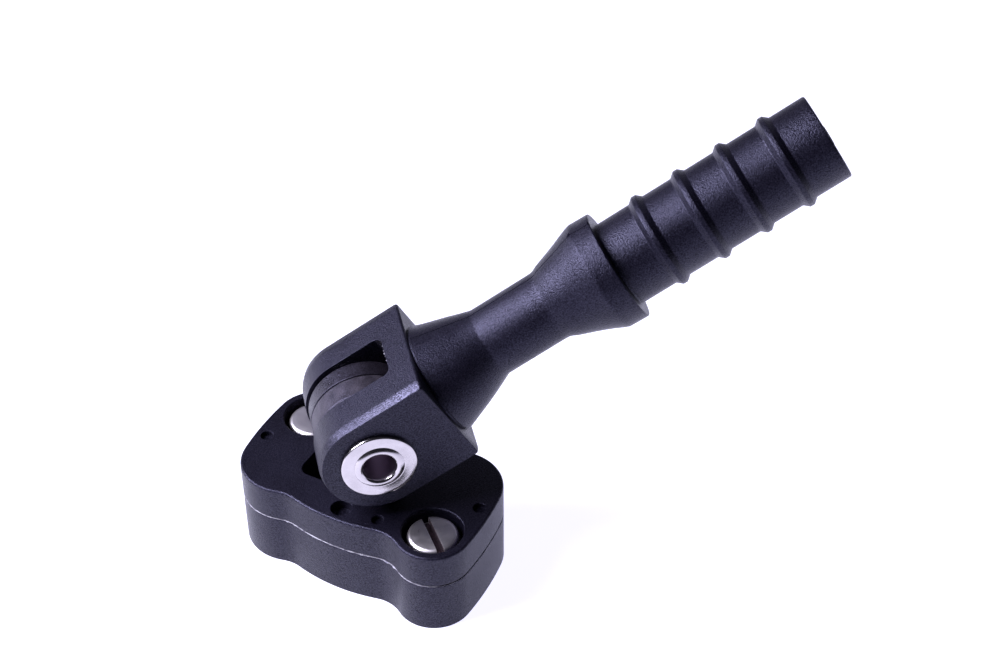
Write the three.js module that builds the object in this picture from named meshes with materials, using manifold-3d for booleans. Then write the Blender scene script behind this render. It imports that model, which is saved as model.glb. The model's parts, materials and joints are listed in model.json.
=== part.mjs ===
// A tube-end universal joint: a two-part base with two cap screws, a split swivel post that turns in
// the base, and a clevis arm that swings on a hollow rivet and ends in a ribbed spigot for a tube.
//
// Millimetres, +Z up. The origin is the centre of the base's underside and +X runs along the base.
// The post, the clevis arm and the rivet are built on the pivot's own axes: the pivot lies along y,
// x runs out along the arm and z is square to both. "Front" is the pivot's end at negative y.

import * as THREE from 'three';
import { mergeVertices } from 'three/addons/utils/BufferGeometryUtils.js';
import Module from 'manifold-3d';

const wasm = await Module();
wasm.setup();

// ---- Driving dimensions -------------------------------------------------------------------------

// Base outline: three kinds of arc on each side, the same again after half a turn.
const LOBE = { x: 22.7, y: -10.3, r: 9.2 };        // round each screw
const CORNER = { x: 19.2, y: 5, r: 12 };           // the wide corner beside the screw
const BULGE = { r: 45, top: 17.9 };                // the long side's shallow middle
const WAIST_R = 9;                                 // hollow between the bulge and its neighbours
const END_R = 80;                                  // the ends' slight bow, from corner to lobe

const BLOCK_TOP = 13.7;                            // height of the lower base block
const PLATE_BOTTOM = 13.9;                         // a fine parting gap, then the top plate
const PLATE_TOP = 22.7;

const WINDOW = { left: -15.2, right: 10.9, width: 16, corner: 2.5 };   // opening for the post
const SCREW_HOLE_R = 3.3;
const COUNTERBORE = { r: 7.15, floor: 18.1 };
const HEAD = { r: 6, height: 3.7, rim: 0.7, slot: 1.7, slotDepth: 1.5, slotTurn: -41.5 };
const SHANK = { r: 2.95, length: 16 };
const NUT = { acrossFlats: 10, height: 5, hole: 3.15, seat: 7.4 };
const NUT_CLEARANCE = 0.2;

// Round marks left by the mould on the top plate: place, radius and depth.
const MOULD_MARKS = [
  { x: 9.9, y: -13.3, r: 1.45, depth: 1.2 },
  { x: 28.6, y: 1.1, r: 1.55, depth: 1.2 },
  { x: 0.5, y: -13.9, r: 2.5, depth: 2.5 },
];

// Swivel post: a disc held under the top plate, a round neck and a flat eye on the pivot.
const FOOT = { r: 13, bottom: 9.2, top: 13.5 };
const FOOT_POCKET = { r: 13.4, floor: 8.9 };
const NECK_R = 7;
const EYE = { centre: -0.35, r: 12.6, bore: 5.15, front: -5.6, rear: 5.8, chamfer: 0.5 };
const SPLIT = { front: 0.65, rear: 0.95 };         // the faces where the post's halves meet
const WEB_CLEARANCE = 0.6;                         // the eye's web above the top plate
const NECK_OVERLAP = 0.3;                          // the neck runs this far up into the web

// Pivot, from the origin.
const PIVOT_HEIGHT = 39;
const ARM_AZIMUTH = 40.7;                          // degrees from +X towards +Y
const ARM_ELEVATION = 30.7;                        // degrees above the horizontal

// Clevis block, along the arm's own axes.
const BLOCK = { front: -15.75, rear: 15.2, height: 25.9, shoulder: 19.4, endCentre: -0.45 };
const BAND = { width: 2.85, drop: 0.5 };           // the sloping band along each face's edge
const SLOT = { front: -5.8, rear: 7.1, end: 13.3, frontCorner: 1.6, rearCorner: 2.4 };
const EAR_BORE_R = 5.05;

// Turned part of the arm: distance from the pivot and radius.
const CONE = { startR: 12.85, overlap: 2 };        // the cone also runs back into the block
const CONE_FOOT = { spread: 1.112, shift: -0.79 }; // where it starts: width over height, and its offset
const NECK = { start: 33.85, end: 49.5, r: 8.35 };
const COLLAR = { start: 62.9, end: 68, r: 13.3 };
const SPIGOT = { r: 10.2, end: 121.9, chamfer: 0.5 };
const RIB = { first: 78.75, pitch: 10.85, count: 4, height: 1.1, foot: 3.6, crest: 1.1 };
const GATE = { r: 2.4, height: 0.3 };              // moulding gate left on the spigot's end

// Hollow rivet with a washer under each of its rolled ends.
const TUBE = { r: 4.9, bore: 3.7, lip: 5.7, lipThickness: 0.5, proud: 1.65 };
const WASHER = { r: 8.65, bore: 5.05, gap: 0.15, thickness: 0.9 };

const FINE = 48;                                   // segments round a large circle
const MEDIUM = 32;
const COARSE = 20;
const SMALL = 12;
const RIM_STEPS = 4;                               // round a screw head's rim
const SAG = 0.025;                                 // how far an outline's arcs may be cut short
const THROUGH = 1;                                 // a cutting tool's reach past what it cuts

// ---- Materials ----------------------------------------------------------------------------------

const standard = (color, roughness, metalness = 0) =>
  new THREE.MeshStandardMaterial({ color, roughness, metalness });
const blackNylon = () => standard(0x17161d, 0.55);
const greyNylon = () => standard(0x2c2a2e, 0.65);
const polishedSteel = () => standard(0xc9c8cc, 0.2, 1);
const satinSteel = () => standard(0x9a9894, 0.4, 1);

// ---- Solid helpers ------------------------------------------------------------------------------

function solid(geometry) {
  const bare = geometry.clone();
  bare.deleteAttribute('normal');
  bare.deleteAttribute('uv');
  const merged = mergeVertices(bare, 1e-4);
  return new wasm.Manifold(new wasm.Mesh({
    numProp: 3,
    vertProperties: new Float32Array(merged.attributes.position.array),
    triVerts: new Uint32Array(merged.index.array),
  }));
}

function geometryOf(manifold) {
  const { vertProperties, triVerts } = manifold.getMesh();
  const geometry = new THREE.BufferGeometry();
  geometry.setAttribute('position', new THREE.BufferAttribute(vertProperties, 3));
  geometry.setIndex(new THREE.BufferAttribute(triVerts, 1));
  geometry.computeVertexNormals();
  return geometry;
}

function cut(body, ...tools) {
  return tools.reduce((left, tool) => left.subtract(tool), body);
}

function namedMesh(name, manifold, material) {
  const mesh = new THREE.Mesh(geometryOf(manifold), material);
  mesh.name = name;
  return mesh;
}

function box(x0, x1, y0, y1, z0, z1) {
  return new THREE.BoxGeometry(x1 - x0, y1 - y0, z1 - z0)
    .translate((x0 + x1) / 2, (y0 + y1) / 2, (z0 + z1) / 2);
}

// A cylinder along Z, from z0 to z1.
function upright(r, z0, z1, segments, x = 0, y = 0) {
  return new THREE.CylinderGeometry(r, r, z1 - z0, segments)
    .rotateX(Math.PI / 2)
    .translate(x, y, (z0 + z1) / 2);
}

// A cylinder along Y, from y0 to y1, for what lies on the pivot.
function alongPivot(r, y0, y1, segments) {
  return new THREE.CylinderGeometry(r, r, y1 - y0, segments).translate(0, (y0 + y1) / 2, 0);
}

function prism(shape, z0, z1, curveSegments = 12) {
  return new THREE.ExtrudeGeometry(shape, { depth: z1 - z0, bevelEnabled: false, curveSegments })
    .translate(0, 0, z0);
}

// ---- Base outline -------------------------------------------------------------------------------

const angleTo = (from, to) => Math.atan2(to.y - from.y, to.x - from.x);

// Points along an arc, its last one left to whatever follows unless it is asked for.
function arcPoints(centre, from, to, withLast = false) {
  const steps = Math.max(2, Math.ceil(Math.abs(to - from) * Math.sqrt(centre.r / (8 * SAG))));
  const points = [];
  for (let i = 0; i < steps + (withLast ? 1 : 0); i += 1) {
    const angle = from + (to - from) * i / steps;
    points.push(new THREE.Vector2(
      centre.x + centre.r * Math.cos(angle),
      centre.y + centre.r * Math.sin(angle),
    ));
  }
  return points;
}

// Arc of radius r whose centre is at the given distances from those of arcs a and b, on the left
// of the line from a to b.
function arcBeside(a, b, r, toA, toB) {
  const apart = Math.hypot(b.x - a.x, b.y - a.y);
  const ux = (b.x - a.x) / apart;
  const uy = (b.y - a.y) / apart;
  const along = (toA * toA - toB * toB + apart * apart) / (2 * apart);
  const up = Math.sqrt(toA * toA - along * along);
  return { x: a.x + ux * along - uy * up, y: a.y + uy * along + ux * up, r };
}

// Hollow arc that touches arcs a and b from outside.
const waistBetween = (a, b) => arcBeside(a, b, WAIST_R, a.r + WAIST_R, b.r + WAIST_R);

// The corner at +X, the long side at +Y, the lobe and the bowed end at -X. Half a turn makes the rest.
function halfOutline() {
  const lobe = { x: -LOBE.x, y: -LOBE.y, r: LOBE.r };
  const bulge = { x: 0, y: BULGE.top - BULGE.r, r: BULGE.r };
  const right = waistBetween(bulge, CORNER);
  const left = waistBetween(lobe, bulge);
  const bow = arcBeside(LOBE, CORNER, END_R, END_R - LOBE.r, END_R - CORNER.r);
  const farBow = { x: -bow.x, y: -bow.y, r: END_R };
  const turn = 2 * Math.PI;
  return [
    ...arcPoints(CORNER, angleTo(bow, CORNER), angleTo(CORNER, right)),
    ...arcPoints(right, angleTo(right, CORNER) + turn, angleTo(right, bulge) + turn),
    ...arcPoints(bulge, angleTo(bulge, right), angleTo(bulge, left)),
    ...arcPoints(left, angleTo(left, bulge) + turn, angleTo(left, lobe) + turn),
    ...arcPoints(lobe, angleTo(lobe, left), angleTo(bow, LOBE) + Math.PI),
    ...arcPoints(farBow, angleTo(bow, LOBE) + Math.PI, angleTo(bow, CORNER) + Math.PI),
  ];
}

function baseOutline() {
  const half = halfOutline();
  const other = half.map((point) => point.clone().negate());
  return new THREE.Shape([...half, ...other]);
}

// ---- Base ---------------------------------------------------------------------------------------

const screwPlaces = [LOBE, { x: -LOBE.x, y: -LOBE.y }];

function hexagon(acrossFlats) {
  const corner = acrossFlats / Math.sqrt(3);
  const points = Array.from({ length: 6 }, (_, i) => {
    const angle = (i + 0.5) * Math.PI / 3;
    return new THREE.Vector2(corner * Math.cos(angle), corner * Math.sin(angle));
  });
  return new THREE.Shape(points);
}

function baseBlock() {
  const tools = [solid(upright(FOOT_POCKET.r, FOOT_POCKET.floor, BLOCK_TOP + THROUGH, FINE))];
  const nutPocket = hexagon(NUT.acrossFlats + 2 * NUT_CLEARANCE);
  for (const { x, y } of screwPlaces) {
    tools.push(solid(upright(SCREW_HOLE_R, -THROUGH, BLOCK_TOP + THROUGH, COARSE, x, y)));
    tools.push(solid(prism(nutPocket, -THROUGH, NUT.seat + NUT_CLEARANCE).translate(x, y, 0)));
  }
  return cut(solid(prism(baseOutline(), 0, BLOCK_TOP)), ...tools);
}

// Rectangle with rounded corners; the post stands near its right-hand end.
function windowShape() {
  const { left, right, width, corner: r } = WINDOW;
  const x = [right - r, left + r];
  const y = width / 2 - r;
  const quarter = Math.PI / 2;
  return new THREE.Shape([
    ...arcPoints({ x: x[0], y: -y, r }, -quarter, 0, true),
    ...arcPoints({ x: x[0], y, r }, 0, quarter, true),
    ...arcPoints({ x: x[1], y, r }, quarter, 2 * quarter, true),
    ...arcPoints({ x: x[1], y: -y, r }, 2 * quarter, 3 * quarter, true),
  ]);
}

function topPlate() {
  const below = PLATE_BOTTOM - THROUGH;
  const above = PLATE_TOP + THROUGH;
  const tools = [solid(prism(windowShape(), below, above))];
  for (const { x, y } of screwPlaces) {
    tools.push(solid(upright(SCREW_HOLE_R, below, above, COARSE, x, y)));
    tools.push(solid(upright(COUNTERBORE.r, COUNTERBORE.floor, above, MEDIUM, x, y)));
  }
  for (const { x, y, r, depth } of MOULD_MARKS) {
    for (const sign of [1, -1]) {
      tools.push(solid(upright(r, PLATE_TOP - depth, above, SMALL, x * sign, y * sign)));
    }
  }
  return cut(solid(prism(baseOutline(), PLATE_BOTTOM, PLATE_TOP)), ...tools);
}

// ---- Fasteners ----------------------------------------------------------------------------------

// Pan-head screw, its head's bearing face at z = 0.
function screw() {
  const profile = [new THREE.Vector2(0, -SHANK.length), new THREE.Vector2(SHANK.r, -SHANK.length)];
  profile.push(new THREE.Vector2(SHANK.r, 0), new THREE.Vector2(HEAD.r, 0));
  for (let i = 0; i <= RIM_STEPS; i += 1) {
    const angle = i * Math.PI / 2 / RIM_STEPS;
    profile.push(new THREE.Vector2(
      HEAD.r - HEAD.rim + HEAD.rim * Math.cos(angle),
      HEAD.height - HEAD.rim + HEAD.rim * Math.sin(angle),
    ));
  }
  profile.push(new THREE.Vector2(0, HEAD.height));
  const turned = solid(new THREE.LatheGeometry(profile, COARSE).rotateX(Math.PI / 2));
  const slot = box(-HEAD.r - THROUGH, HEAD.r + THROUGH, -HEAD.slot / 2, HEAD.slot / 2,
    HEAD.height - HEAD.slotDepth, HEAD.height + THROUGH);
  return cut(turned, solid(slot.rotateZ(THREE.MathUtils.degToRad(HEAD.slotTurn))));
}

function nut() {
  const shape = hexagon(NUT.acrossFlats);
  shape.holes.push(new THREE.Path().absarc(0, 0, NUT.hole, 0, 2 * Math.PI, true));
  return solid(prism(shape, 0, NUT.height, COARSE / 2));
}

// ---- Swivel post, on the pivot's axes ------------------------------------------------------------

function eyeDisc() {
  const { centre, r, front, rear, chamfer } = EYE;
  const profile = [
    [0, front], [r - chamfer, front], [r, front + chamfer],
    [r, rear - chamfer], [r - chamfer, rear], [0, rear],
  ].map(([radius, along]) => new THREE.Vector2(radius, along));
  return new THREE.LatheGeometry(profile, FINE).translate(centre, 0, 0);
}

// Foot disc, neck and eye as one form; each half keeps what lies on its side of the split.
function wholePost() {
  const foot = upright(FOOT.r, FOOT.bottom - PIVOT_HEIGHT, FOOT.top - PIVOT_HEIGHT, FINE);
  const webBottom = PLATE_TOP + WEB_CLEARANCE - PIVOT_HEIGHT;
  const neck = upright(NECK_R, FOOT.bottom - PIVOT_HEIGHT, webBottom + NECK_OVERLAP, MEDIUM);
  const web = box(-NECK_R, NECK_R, EYE.front, EYE.rear, webBottom, 0);
  const whole = solid(neck).add(solid(foot)).add(solid(eyeDisc())).add(solid(web));
  return whole.subtract(
    solid(alongPivot(EYE.bore, EYE.front - THROUGH, EYE.rear + THROUGH, MEDIUM)),
  );
}

// The split runs right through the neck and foot, which are wider than the eye is thick.
function postHalf(y0, y1) {
  const reach = FOOT.r + THROUGH;
  const low = y0 === EYE.front ? -reach : y0;
  const high = y1 === EYE.rear ? reach : y1;
  const keep = solid(box(-reach, reach, low, high, -PIVOT_HEIGHT, EYE.r + THROUGH));
  return wholePost().intersect(keep);
}

// ---- Clevis arm, along its own axes ---------------------------------------------------------------

// Side view of the clevis: round at the pivot, run past the shoulder so that its end can be cut.
function clevisSide(inset) {
  const r = BLOCK.height / 2 - inset;
  const end = BLOCK.shoulder + BAND.width;
  const shape = new THREE.Shape();
  shape.absarc(BLOCK.endCentre, 0, r, Math.PI / 2, 3 * Math.PI / 2, false);
  shape.lineTo(end, -r);
  shape.lineTo(end, r);
  shape.closePath();
  return shape;
}

// Extruded across the arm with its long edges sloped off, then cut square at the shoulder.
function clevisBlock() {
  const inner = BLOCK.rear - BLOCK.front - 2 * BAND.width;
  const sloped = new THREE.ExtrudeGeometry(clevisSide(BAND.drop), {
    depth: inner,
    bevelThickness: BAND.width,
    bevelSize: BAND.drop,
    bevelSegments: 1,
    curveSegments: FINE / 2,
  }).rotateX(Math.PI / 2).translate(0, BLOCK.rear - BAND.width, 0);
  const reach = BLOCK.height;
  return solid(sloped).intersect(solid(box(-reach, BLOCK.shoulder, -reach, reach, -reach, reach)));
}

function slotShape() {
  const { front, rear, end, frontCorner, rearCorner } = SLOT;
  const quarter = Math.PI / 2;
  const frontArc = { x: end - frontCorner, y: front + frontCorner, r: frontCorner };
  const rearArc = { x: end - rearCorner, y: rear - rearCorner, r: rearCorner };
  return new THREE.Shape([
    new THREE.Vector2(-BLOCK.height, front),
    ...arcPoints(frontArc, -quarter, 0, true),
    ...arcPoints(rearArc, 0, quarter, true),
    new THREE.Vector2(-BLOCK.height, rear),
  ]);
}

// One rib's four corners on the spigot: foot, crest, crest, foot.
function ribProfile(centre) {
  const crestR = SPIGOT.r + RIB.height;
  return [
    new THREE.Vector2(SPIGOT.r, centre - RIB.foot / 2),
    new THREE.Vector2(crestR, centre - RIB.crest / 2),
    new THREE.Vector2(crestR, centre + RIB.crest / 2),
    new THREE.Vector2(SPIGOT.r, centre + RIB.foot / 2),
  ];
}

// The cone is wider than it is high where it leaves the block, and round where it meets the neck.
function widenCone(geometry) {
  const { position } = geometry.attributes;
  for (let i = 0; i < position.count; i += 1) {
    const left = (NECK.start - position.getX(i)) / (NECK.start - BLOCK.shoulder);
    const share = THREE.MathUtils.clamp(left, 0, 1);
    const spread = 1 + (CONE_FOOT.spread - 1) * share;
    position.setY(i, position.getY(i) * spread + CONE_FOOT.shift * share);
  }
  return geometry;
}

function turnedArm() {
  const profile = [
    new THREE.Vector2(0, BLOCK.shoulder - CONE.overlap),
    new THREE.Vector2(CONE.startR, BLOCK.shoulder - CONE.overlap),
    new THREE.Vector2(CONE.startR, BLOCK.shoulder),
    new THREE.Vector2(NECK.r, NECK.start),
    new THREE.Vector2(NECK.r, NECK.end),
    new THREE.Vector2(COLLAR.r, COLLAR.start),
    new THREE.Vector2(COLLAR.r, COLLAR.end),
    new THREE.Vector2(SPIGOT.r, COLLAR.end),
  ];
  for (let i = 0; i < RIB.count; i += 1) profile.push(...ribProfile(RIB.first + i * RIB.pitch));
  profile.push(
    new THREE.Vector2(SPIGOT.r, SPIGOT.end - SPIGOT.chamfer),
    new THREE.Vector2(SPIGOT.r - SPIGOT.chamfer, SPIGOT.end),
    new THREE.Vector2(GATE.r, SPIGOT.end),
    new THREE.Vector2(GATE.r, SPIGOT.end + GATE.height),
    new THREE.Vector2(0, SPIGOT.end + GATE.height),
  );
  return widenCone(new THREE.LatheGeometry(profile, FINE).rotateZ(-Math.PI / 2));
}

function clevisArm() {
  const height = BLOCK.height / 2 + THROUGH;
  const slot = prism(slotShape(), -height, height);
  const bore = alongPivot(EAR_BORE_R, BLOCK.front - THROUGH, BLOCK.rear + THROUGH, MEDIUM);
  const whole = clevisBlock().add(solid(turnedArm()));
  return cut(whole, solid(slot), solid(bore));
}

// ---- Hollow rivet and washers, on the pivot's axes -------------------------------------------------

function pivotTube() {
  const { r, bore, lip, lipThickness, proud } = TUBE;
  const low = BLOCK.front - proud;
  const high = BLOCK.rear + proud;
  const profile = [
    [bore, low], [lip, low], [lip, low + lipThickness], [r, low + lipThickness],
    [r, high - lipThickness], [lip, high - lipThickness], [lip, high], [bore, high], [bore, low],
  ].map(([radius, along]) => new THREE.Vector2(radius, along));
  return solid(new THREE.LatheGeometry(profile, MEDIUM));
}

// Ring whose lower face is at the given place along the pivot.
function pivotWasher(low) {
  const { r, bore, thickness } = WASHER;
  const high = low + thickness;
  const profile = [[bore, low], [r, low], [r, high], [bore, high], [bore, low]]
    .map(([radius, along]) => new THREE.Vector2(radius, along));
  return solid(new THREE.LatheGeometry(profile, MEDIUM));
}

// ---- Assembly -----------------------------------------------------------------------------------

function addBase(group) {
  group.add(namedMesh('base_block', baseBlock(), blackNylon()));
  group.add(namedMesh('top_plate', topPlate(), blackNylon()));
  screwPlaces.forEach(({ x, y }, i) => {
    const end = i === 0 ? 'front' : 'rear';
    const fastener = namedMesh(`screw_${end}`, screw(), satinSteel());
    fastener.position.set(x, y, COUNTERBORE.floor);
    const nutMesh = namedMesh(`nut_${end}`, nut(), satinSteel());
    nutMesh.position.set(x, y, NUT.seat - NUT.height);
    group.add(fastener, nutMesh);
  });
}

// Everything on the pivot's axes: the post stays upright and the arm is raised about the pivot.
function addJoint(group) {
  const swivel = new THREE.Group();
  swivel.position.z = PIVOT_HEIGHT;
  swivel.rotation.z = THREE.MathUtils.degToRad(ARM_AZIMUTH);
  swivel.add(namedMesh('swivel_post_front', postHalf(EYE.front, SPLIT.front), greyNylon()));
  swivel.add(namedMesh('swivel_post_rear', postHalf(SPLIT.rear, EYE.rear), greyNylon()));

  const arm = new THREE.Group();
  arm.rotation.y = -THREE.MathUtils.degToRad(ARM_ELEVATION);
  arm.add(namedMesh('clevis_arm', clevisArm(), blackNylon()));
  arm.add(namedMesh('pivot_tube', pivotTube(), polishedSteel()));
  const frontSeat = BLOCK.front - WASHER.gap - WASHER.thickness;
  arm.add(namedMesh('pivot_washer_front', pivotWasher(frontSeat), polishedSteel()));
  arm.add(namedMesh('pivot_washer_rear', pivotWasher(BLOCK.rear + WASHER.gap), polishedSteel()));
  swivel.add(arm);
  group.add(swivel);
}

const fitting = new THREE.Group();
addBase(fitting);
addJoint(fitting);

export default fitting;
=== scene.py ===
import json
import math

import bmesh
import bpy
from mathutils import Matrix, Vector, noise


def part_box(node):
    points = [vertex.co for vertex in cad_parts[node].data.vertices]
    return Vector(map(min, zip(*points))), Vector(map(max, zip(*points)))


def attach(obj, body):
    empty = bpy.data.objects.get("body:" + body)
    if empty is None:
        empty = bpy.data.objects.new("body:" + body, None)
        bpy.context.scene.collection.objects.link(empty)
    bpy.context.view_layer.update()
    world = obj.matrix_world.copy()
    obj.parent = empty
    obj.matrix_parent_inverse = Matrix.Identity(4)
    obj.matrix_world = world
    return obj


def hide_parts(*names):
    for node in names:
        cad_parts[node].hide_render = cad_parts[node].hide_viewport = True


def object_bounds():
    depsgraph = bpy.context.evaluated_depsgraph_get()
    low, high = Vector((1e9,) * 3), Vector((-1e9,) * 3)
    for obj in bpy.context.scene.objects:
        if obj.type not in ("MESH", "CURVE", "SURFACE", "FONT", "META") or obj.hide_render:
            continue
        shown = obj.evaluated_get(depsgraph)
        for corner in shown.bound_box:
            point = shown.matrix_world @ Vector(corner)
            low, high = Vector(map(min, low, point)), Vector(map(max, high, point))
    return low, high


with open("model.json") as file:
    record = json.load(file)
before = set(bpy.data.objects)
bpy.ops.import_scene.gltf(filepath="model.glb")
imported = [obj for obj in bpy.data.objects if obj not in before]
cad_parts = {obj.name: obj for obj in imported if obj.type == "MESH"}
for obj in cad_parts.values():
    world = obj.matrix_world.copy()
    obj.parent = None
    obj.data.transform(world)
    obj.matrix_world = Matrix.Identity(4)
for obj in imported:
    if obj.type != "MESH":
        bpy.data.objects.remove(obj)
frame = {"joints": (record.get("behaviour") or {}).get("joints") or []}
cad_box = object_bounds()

# A tube-end universal joint in black glass-filled nylon with stainless fittings.
# Every piece is built in millimetres on its own axes, then placed on the frame in metres.

MM = 0.001
TAU = 2 * math.pi

# ---- Places from the frame -----------------------------------------------------------------------


def box_mm(node):
    low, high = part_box(node)
    return Vector(low) / MM, Vector(high) / MM


_, BLOCK_HIGH = box_mm("base_block")
PLATE_LOW, PLATE_HIGH = box_mm("top_plate")
HINGE = next(joint for joint in frame["joints"] if joint["name"] == "arm_hinge")
PIVOT = Vector(HINGE["pos_m"]) / MM
REAR = -Vector(HINGE["axis"]).normalized()

# ---- Driving dimensions, millimetres -------------------------------------------------------------

LOBE = (22.7, -10.3, 9.2)              # x, y and radius of the outline round each screw
CORNER = (19.2, 5.0, 12.0)             # the wide corner beside it
BULGE = (0.0, 17.9 - 45.0, 45.0)       # the long side's shallow middle
WAIST_R, END_R = 9.0, 80.0             # hollows beside the bulge, and the ends' slight bow

WINDOW = (-15.2, 10.9, 16.0)           # left, right and width
WINDOW_CORNER = 2.5
SCREW_HOLE_R = 3.3
COUNTERBORE_R, COUNTERBORE_FLOOR = 7.15, 18.1
MOULD_MARKS = ((9.9, -13.3, 1.45, 1.2), (28.6, 1.1, 1.55, 1.2), (0.5, -13.9, 2.5, 2.5))
NUT_ACROSS, NUT_CLEARANCE, NUT_SEAT = 10.0, 0.2, 7.4
NUT_BORE, NUT_ROOT, NUT_MOUTH, NUT_CHAMFER = 3.15, 3.4, 3.5, 0.55
POCKET_R, POCKET_FLOOR = 13.4, 8.9

HEAD_R, HEAD_RIM = 6.0, 1.1
SLOT_WIDTH, SLOT_DEPTH, SLOT_TURN = 1.75, 2.3, math.radians(-41.5)
SHANK_R, SHANK_ROOT_R, THREAD_PITCH = 2.95, 2.4, 1.0

FOOT_R, NECK_R = 13.0, 7.0
EYE_CENTRE, EYE_R, EYE_BORE = -0.35, 12.6, 5.15
EYE_FRONT, SPLIT_FRONT, SPLIT_REAR, EYE_REAR = -5.6, 0.65, 0.95, 5.8
EYE_FILLET = 3.0                       # between the eye and its web
WEB_FOOT, NECK_TOP = 0.6, 0.9          # the web's foot and the neck's top, above the top plate
FOOT_EDGE, FOOT_GAP = 0.4, 0.4         # the foot's eased edges, and its gap under the top plate

ARM_ELEVATION = math.radians(30.7)
CLEVIS_FRONT, CLEVIS_REAR, CLEVIS_HEIGHT = -15.75, 15.2, 25.9
CLEVIS_CENTRE, SHOULDER = -0.45, 19.4
BAND_DROP = 0.52                       # the soft band along each face's edge
GAP_FRONT, GAP_REAR, GAP_END = -5.8, 7.1, 13.3
GAP_CORNERS = (1.6, 2.4)               # front and rear inner corner
EAR_BORE = 5.05
SHOULDER_EASE = 0.6                    # the rounding of the shoulder's edge
SEAM = 1.4                             # the moulding seam's offset from the arm's axis
SEAM_DEPTH, SEAM_WIDTH = 0.3, 0.14     # its groove on the turned part: depth and half width
SPIGOT_SEAM_DEPTH, NIB_HEIGHT = 0.02, 0.55

CONE_R, CONE_UNDERCUT = 12.85, 0.4
# The cone's width over its height, by distance along the arm.
CONE_SPREAD = ((19.4, 1.112), (22.0, 1.085), (28.0, 1.083), (31.0, 1.043), (34.0, 1.0))
# Where the turned part's centre wanders: distance along the arm, y and z.
SWAY = ((22.0, -0.79, 0.0), (26.5, -0.41, 0.0), (31.0, 0.05, 0.06), (34.0, 0.24, 0.3),
        (49.6, 0.24, 0.3), (60.0, 0.18, 0.22), (63.0, 0.08, 0.09), (67.0, 0.0, 0.0))
ARM_NECK = (33.85, 49.5, 8.37)         # start, end and radius
COLLAR = (62.9, 68.0, 13.3)
COLLAR_EDGE = 0.3
SPIGOT_R, SPIGOT_END = 10.2, 121.9
RIB_FIRST, RIB_PITCH, RIB_COUNT = 78.75, 10.85, 4
RIB_HEIGHT, RIB_FOOT, RIB_CREST = 1.1, 3.6, 1.1
GATE_R, GATE_HEIGHT = 2.4, 0.3

TUBE_R, TUBE_BORE, TUBE_LIP, TUBE_PROUD = 4.9, 3.7, 5.7, 1.65
WASHER_R, WASHER_BORE, WASHER_GAP, WASHER_THICKNESS = 8.65, 5.05, 0.15, 0.9

# Segments round a circle.
FINEST, FINE, MEDIUM, COARSE = 160, 96, 72, 48
THROUGH = 20                           # a cutter's reach past the clevis on both sides

# ---- Placing -------------------------------------------------------------------------------------

OUT = REAR.cross(Vector((0, 0, 1)))


def axes_matrix(x, y, z, origin):
    turn = Matrix((x, y, z)).transposed().to_4x4()
    return Matrix.Scale(MM, 4) @ Matrix.Translation(origin) @ turn


ROW = Matrix.Scale(MM, 4)
POST_AXES = axes_matrix(OUT, REAR, Vector((0, 0, 1)), PIVOT)
ALONG = OUT * math.cos(ARM_ELEVATION) + Vector((0, 0, math.sin(ARM_ELEVATION)))
ARM_AXES = axes_matrix(ALONG, REAR, ALONG.cross(REAR), PIVOT)

# ---- Mesh helpers --------------------------------------------------------------------------------


def object_from(name, bm):
    bmesh.ops.recalc_face_normals(bm, faces=bm.faces)
    mesh = bpy.data.meshes.new(name)
    bm.to_mesh(mesh)
    bm.free()
    piece = bpy.data.objects.new(name, mesh)
    bpy.context.scene.collection.objects.link(piece)
    return piece


def loft(name, rings, closed=False):
    """A closed skin through rings of equal length. closed joins the last ring to the first."""
    bm = bmesh.new()
    rows = [[bm.verts.new(point) for point in ring] for ring in rings]
    count = len(rows[0])
    pairs = list(zip(rows, rows[1:]))
    if closed:
        pairs.append((rows[-1], rows[0]))
    for low, high in pairs:
        for i in range(count):
            j = (i + 1) % count
            bm.faces.new((low[i], low[j], high[j], high[i]))
    if not closed:
        bm.faces.new(rows[0])
        bm.faces.new(rows[-1])
    return object_from(name, bm)


def turned(name, profile, segments=128, axis="z", closed=False):
    """A lathe: profile is (radius, along). An open profile has flat ends."""
    rings = []
    for radius, along in profile:
        ring = []
        for i in range(segments):
            a = TAU * i / segments
            u, v = radius * math.cos(a), radius * math.sin(a)
            ring.append({"x": (along, u, v), "y": (v, along, u), "z": (u, v, along)}[axis])
        rings.append(ring)
    return loft(name, rings, closed)


def arc(cx, cy, r, start, end, steps):
    """Points on an arc, both ends included. Angles in degrees."""
    angles = [math.radians(start + (end - start) * i / steps) for i in range(steps + 1)]
    return [(cx + r * math.cos(a), cy + r * math.sin(a)) for a in angles]


def block(name, low, high):
    bm = bmesh.new()
    bmesh.ops.create_cube(bm, size=1)
    low, high = Vector(low), Vector(high)
    for vert in bm.verts:
        vert.co = Vector([low[k] + (vert.co[k] + 0.5) * (high[k] - low[k]) for k in range(3)])
    return object_from(name, bm)


def baked(piece):
    """Replaces a piece's mesh with the result of its modifiers."""
    graph = bpy.context.evaluated_depsgraph_get()
    result = bpy.data.meshes.new_from_object(piece.evaluated_get(graph))
    piece.modifiers.clear()
    old, piece.data = piece.data, result
    bpy.data.meshes.remove(old)
    return piece


def combine(piece, operation, *tools):
    for tool in tools:
        step = piece.modifiers.new("step", "BOOLEAN")
        step.operation, step.solver, step.object = operation, "EXACT", tool
        baked(piece)
        bpy.data.objects.remove(tool)
    return piece


def cut(piece, *tools):
    return combine(piece, "DIFFERENCE", *tools)


def join(piece, *tools):
    return combine(piece, "UNION", *tools)


def eased(piece, width, angle=50, segments=3):
    """Rounds the edges that are still sharp."""
    step = piece.modifiers.new("ease", "BEVEL")
    step.width, step.segments, step.limit_method = width, segments, "ANGLE"
    step.angle_limit = math.radians(angle)
    step.harden_normals = False
    return baked(piece)


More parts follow.
